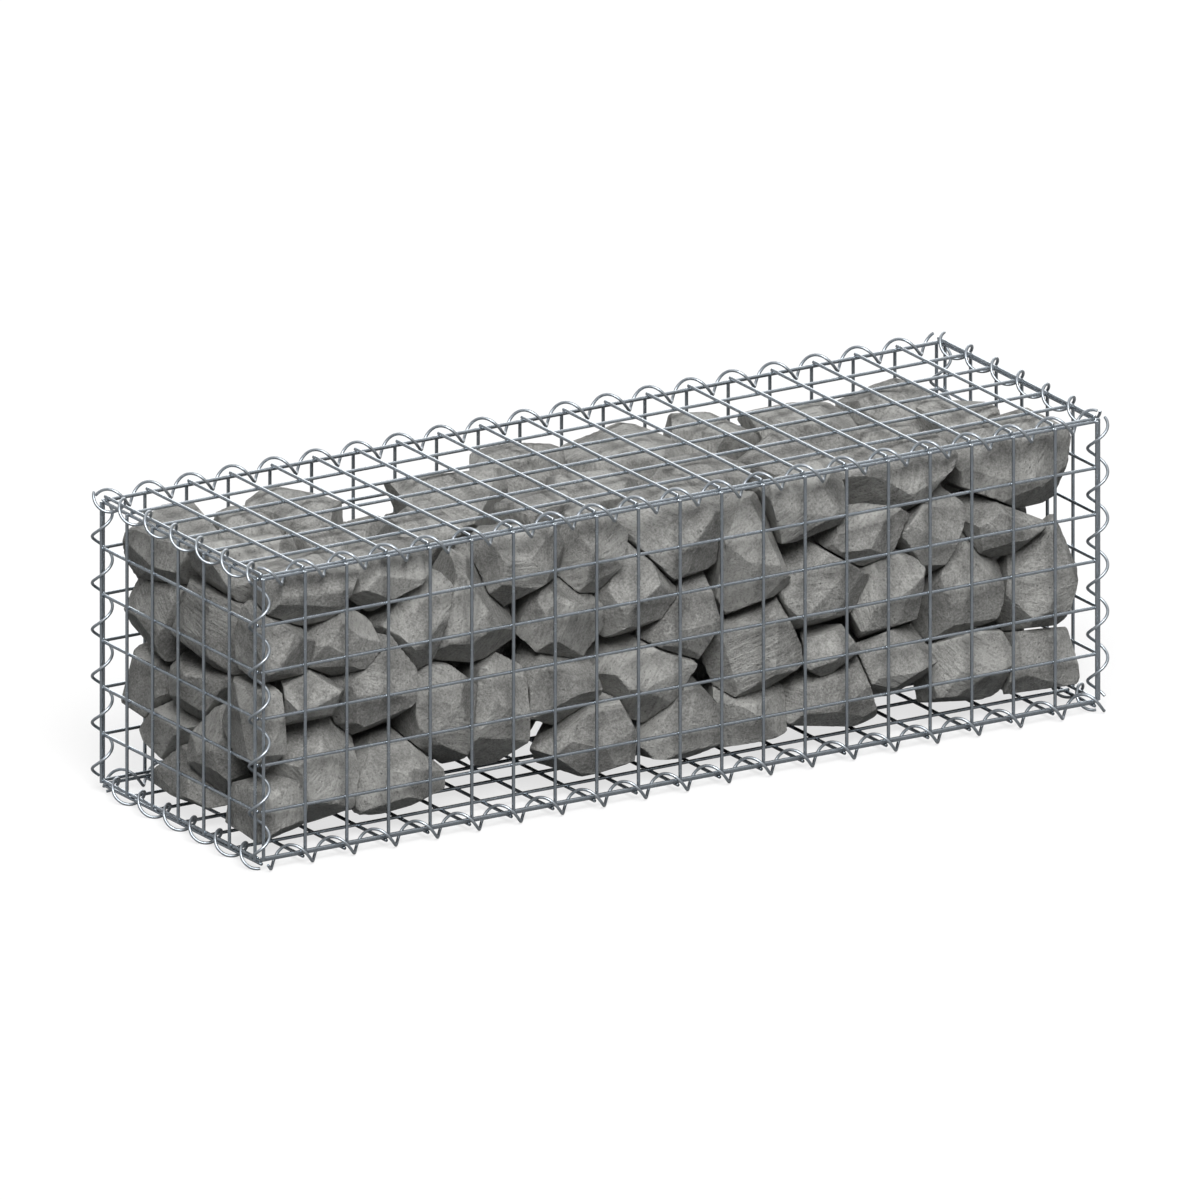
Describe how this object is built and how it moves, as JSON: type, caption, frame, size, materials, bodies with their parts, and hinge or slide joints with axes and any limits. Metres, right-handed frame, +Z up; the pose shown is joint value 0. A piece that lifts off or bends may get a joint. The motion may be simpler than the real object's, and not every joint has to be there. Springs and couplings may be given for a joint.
{
  "type": "gabion wall",
  "caption": "Welded-mesh gabion basket laced along its edges with wire spirals and filled with broken grey stone.",
  "frame": {"origin": "on the ground, under the middle of the basket", "axes": "+X along the wall, front face towards -Y, +Z up"},
  "size_m": [1.0302, 0.3304, 0.3278],
  "materials": {
    "mesh_wire": "galvanised, dull blue-grey",
    "spiral_wire": "galvanised, a little brighter than the mesh",
    "stone": "rough broken grey stone"
  },
  "bodies": {
    "root": {"front_panel": "mesh_wire", "back_panel": "mesh_wire", "left_end_panel": "mesh_wire", "right_end_panel": "mesh_wire", "base_panel": "mesh_wire", "lid_panel": "mesh_wire", "spiral_top_front": "spiral_wire", "spiral_top_back": "spiral_wire", "spiral_low_front": "spiral_wire", "spiral_low_back": "spiral_wire", "spiral_top_left": "spiral_wire", "spiral_top_right": "spiral_wire", "spiral_low_left": "spiral_wire", "spiral_low_right": "spiral_wire", "spiral_front_left": "spiral_wire", "spiral_front_right": "spiral_wire", "spiral_back_left": "spiral_wire", "spiral_back_right": "spiral_wire", "front_stones_1": "stone", "front_stones_2": "stone", "front_stones_3": "stone", "front_stones_4": "stone", "back_stones_1": "stone", "back_stones_2": "stone", "back_stones_3": "stone", "back_stones_4": "stone", "left_end_stones": "stone", "right_end_stones": "stone", "top_stones": "stone", "core_stones": "stone"}
  },
  "joints": []
}
